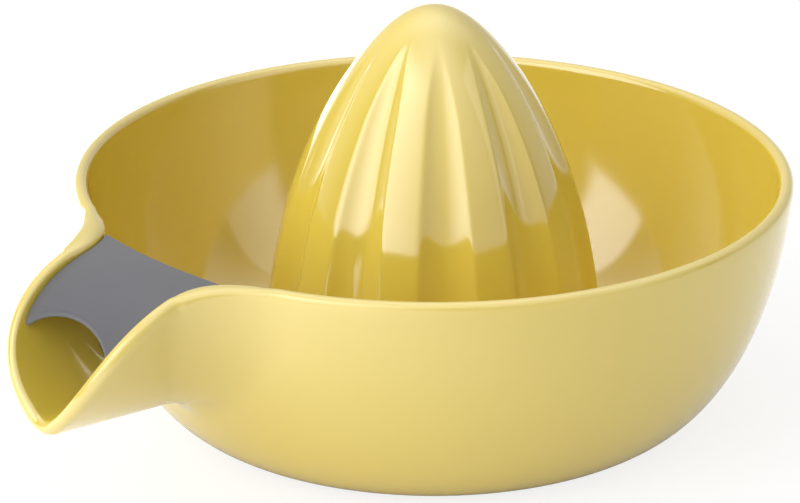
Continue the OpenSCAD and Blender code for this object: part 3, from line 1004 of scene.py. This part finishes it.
white, tree = new_material("paper_white_matt")
ray = add(tree, "ShaderNodeLightPath")
camera_ray, glossy_ray = ray.outputs["Is Camera Ray"], ray.outputs["Is Glossy Ray"]
place = add(tree, "ShaderNodeTexCoord").outputs["Object"]
rightwards = add(
    tree,
    "ShaderNodeVectorMath",
    {0: place, 1: tuple(RIGHT)},
    operation="DOT_PRODUCT",
)
# A painted glow, seen only in glosses: brightest on the left, where the diffuser stands
painted_glow_by_side = add(
    tree,
    "ShaderNodeMapRange",
    {
        "Value": rightwards.outputs["Value"],
        "From Min": PAPER_LEFT,
        "From Max": PAPER_RIGHT,
        "To Min": PAINTED_GLOW_LEFT,
        "To Max": PAINTED_GLOW_RIGHT,
    },
    interpolation_type="SMOOTHSTEP",
)
# and painted shade, from an occlusion node, darkens that glow close to the squeezer
painted_shade_near_squeezer = add(tree, "ShaderNodeAmbientOcclusion", {"Distance": PAINTED_SHADE_WITHIN}, samples=4)
painted_glow_shaded = add(
    tree,
    "ShaderNodeMath",
    {0: painted_glow_by_side.outputs["Result"], 1: painted_shade_near_squeezer.outputs["AO"]},
    operation="MULTIPLY",
)
painted_glow_in_gloss = add(
    tree,
    "ShaderNodeMath",
    {0: glossy_ray, 1: painted_glow_shaded.outputs[0]},
    operation="MULTIPLY",
)
strength = add(
    tree,
    "ShaderNodeMath",
    {0: camera_ray, 1: PAPER_SEEN, 2: painted_glow_in_gloss.outputs[0]},
    operation="MULTIPLY_ADD",
)
looked_at = add(tree, "ShaderNodeMath", {0: camera_ray, 1: glossy_ray}, operation="MAXIMUM")
matt = add(tree, "ShaderNodeBsdfDiffuse", {"Color": linear("F8F8F8")})
shaded = add(tree, "ShaderNodeBsdfDiffuse", {"Color": linear("828282")})
glow = add(
    tree,
    "ShaderNodeEmission",
    {"Color": linear("FFFFFF"), "Strength": strength.outputs[0]},
)
bright = add(tree, "ShaderNodeAddShader", {0: shaded.outputs[0], 1: glow.outputs[0]})
paper = add(
    tree,
    "ShaderNodeMixShader",
    {0: looked_at.outputs[0], 1: matt.outputs[0], 2: bright.outputs[0]},
)
add(tree, "ShaderNodeOutputMaterial", {"Surface": paper.outputs[0]})
mesh = bpy.data.meshes.new("floor")
mesh.from_pydata(
    [(x * PAPER_HALF, y * PAPER_HALF, 0) for x, y in ((-1, -1), (1, -1), (1, 1), (-1, 1))],
    [],
    [(0, 1, 2, 3)],
)
mesh.materials.append(white)
floor = put_in_scene("floor", mesh)

# The soft box, in metres. It stands round to the right from the camera's side, and is aimed at
# the middle of the squeezer
BOX_AZIMUTH = radians(73)
BOX_ELEVATION = radians(27)
BOX_DISTANCE = 0.60
BOX_WIDTH = 0.28
BOX_HEIGHT = 0.52
BOX_LEVEL = 0.75
SQUEEZER_MIDDLE = Vector((0, 0, 0.04))
way = -LOOK * cos(BOX_AZIMUTH) + RIGHT * sin(BOX_AZIMUTH)
way = way * cos(BOX_ELEVATION) + Vector((0, 0, sin(BOX_ELEVATION)))
lamp = bpy.data.lights.new("right_box", "AREA")
lamp.shape = "RECTANGLE"
lamp.size, lamp.size_y = BOX_WIDTH, BOX_HEIGHT
lamp.energy = BOX_LEVEL * BOX_WIDTH * BOX_HEIGHT * pi
soft_box = put_in_scene("right_box", lamp)
soft_box.location = SQUEEZER_MIDDLE + way * BOX_DISTANCE
soft_box.rotation_mode = "QUATERNION"
soft_box.rotation_quaternion = (-way).to_track_quat("-Z", "Y")

# The room: a bright ceiling, paper hung up behind, a pale wall in front, and a tall diffuser to
# the left of the camera, with a hard edge at its far end and a long soft one towards the
# camera. A matt surface gets a share of the room and a fill from the left, and a gloss sees
# more of the room and of the diffuser
CEILING_GATHERED = 3
CEILING_LEVEL = 2.2
WALLS_LEVEL = 0.11
BEHIND_LEVEL = 0.75
FRONT_LEVEL = 0.9
MATT_SHARE = 0.27
GLOSS_ADDS = 0.85
FILL_LEVEL = 1.1
DIFFUSER_LEVEL = 1.6
DIFFUSER_GLOSS_ADDS = 1.0

world = bpy.data.worlds.new("studio")
bpy.context.scene.world = world
world.use_nodes = True
tree = world.node_tree
tree.nodes.clear()
ray = add(tree, "ShaderNodeLightPath")
way = add(tree, "ShaderNodeTexCoord").outputs["Generated"]
named = {
    "height": add(tree, "ShaderNodeSeparateXYZ", {0: way}).outputs["Z"],
    "glossy": ray.outputs["Is Glossy Ray"],
}
for result, axis in (("rightwards", RIGHT), ("nearer", -LOOK)):
    along = add(
        tree,
        "ShaderNodeVectorMath",
        {0: way, 1: tuple(axis)},
        operation="DOT_PRODUCT",
    )
    named[result] = along.outputs["Value"]
turn = add(
    tree,
    "ShaderNodeMath",
    {0: named["rightwards"], 1: named["nearer"]},
    operation="ARCTAN2",
)
named["azimuth"] = turn.outputs[0]
# Each row names a part of the room: what it is measured by, where it starts and where it is
# all there
for result, measured, nothing, all_of_it in (
    ("far edge", "azimuth", radians(-85), radians(-82)),
    ("near edge", "azimuth", radians(12), radians(-52)),
    ("sill", "height", sin(radians(1)), sin(radians(7))),
    ("head", "height", sin(radians(66)), sin(radians(48))),
    ("backdrop", "nearer", 0.15, -0.4),
    ("front", "nearer", 0.1, 0.6),
    ("left side", "rightwards", 0.2, -0.9),
):
    window = add(
        tree,
        "ShaderNodeMapRange",
        {"Value": named[measured], "From Min": nothing, "From Max": all_of_it},
        interpolation_type="SMOOTHSTEP",
    )
    named[result] = window.outputs["Result"]
for result, operation, *terms in (
    ("above", "MAXIMUM", "height", 0),
    ("fade", "POWER", "above", CEILING_GATHERED),
    ("ceiling", "MULTIPLY_ADD", "fade", CEILING_LEVEL, WALLS_LEVEL),
    ("wide", "MULTIPLY", "far edge", "near edge"),
    ("tall", "MULTIPLY", "sill", "head"),
    ("diffuser", "MULTIPLY", "wide", "tall"),
    ("and behind", "MULTIPLY_ADD", "backdrop", BEHIND_LEVEL, "ceiling"),
    ("and in front", "MULTIPLY_ADD", "front", FRONT_LEVEL, "and behind"),
    ("level", "MULTIPLY_ADD", "glossy", GLOSS_ADDS, MATT_SHARE),
    ("all round", "MULTIPLY", "and in front", "level"),
    ("not glossy", "SUBTRACT", 1, "glossy"),
    ("fill", "MULTIPLY", "left side", "not glossy"),
    ("filled", "MULTIPLY_ADD", "fill", FILL_LEVEL, "all round"),
    ("diffuser level", "MULTIPLY_ADD", "glossy", DIFFUSER_GLOSS_ADDS, DIFFUSER_LEVEL),
    ("strength", "MULTIPLY_ADD", "diffuser", "diffuser level", "filled"),
):
    links = {i: named.get(term, term) for i, term in enumerate(terms)}
    named[result] = add(tree, "ShaderNodeMath", links, operation=operation).outputs[0]
room = add(
    tree,
    "ShaderNodeBackground",
    {"Color": linear("FFFFFF"), "Strength": named["strength"]},
)
white_paper = add(tree, "ShaderNodeBackground", {"Color": linear("FFFFFF"), "Strength": 1.0})
both = add(
    tree,
    "ShaderNodeMixShader",
    {0: ray.outputs["Is Camera Ray"], 1: room.outputs[0], 2: white_paper.outputs[0]},
)
add(tree, "ShaderNodeOutputWorld", {"Surface": both.outputs[0]})

# A long lens, 20.6 degrees above the table, aimed in metres to the left of the rim's middle and
# below it
AIM_LEFT = 0.0065
AIM_DOWN = 0.01557
CAMERA_UP = Vector((0.2306, 0.2652, 0.9362))
camera_data = bpy.data.cameras.new("camera")
camera_data.lens = 277.7
camera_data.sensor_width = 36.0
camera_data.clip_start, camera_data.clip_end = 0.05, 20.0
camera = put_in_scene("camera", camera_data)
camera.location = (-0.73705, -0.8479, 0.4707)
aim = Vector((0, 0, RIM_Z * MM)) - RIGHT * AIM_LEFT - CAMERA_UP * AIM_DOWN
camera.rotation_mode = "QUATERNION"
camera.rotation_quaternion = (aim - camera.location).to_track_quat("-Z", "Y")
bpy.context.scene.camera = camera

bpy.context.scene.view_settings.view_transform = "Standard"
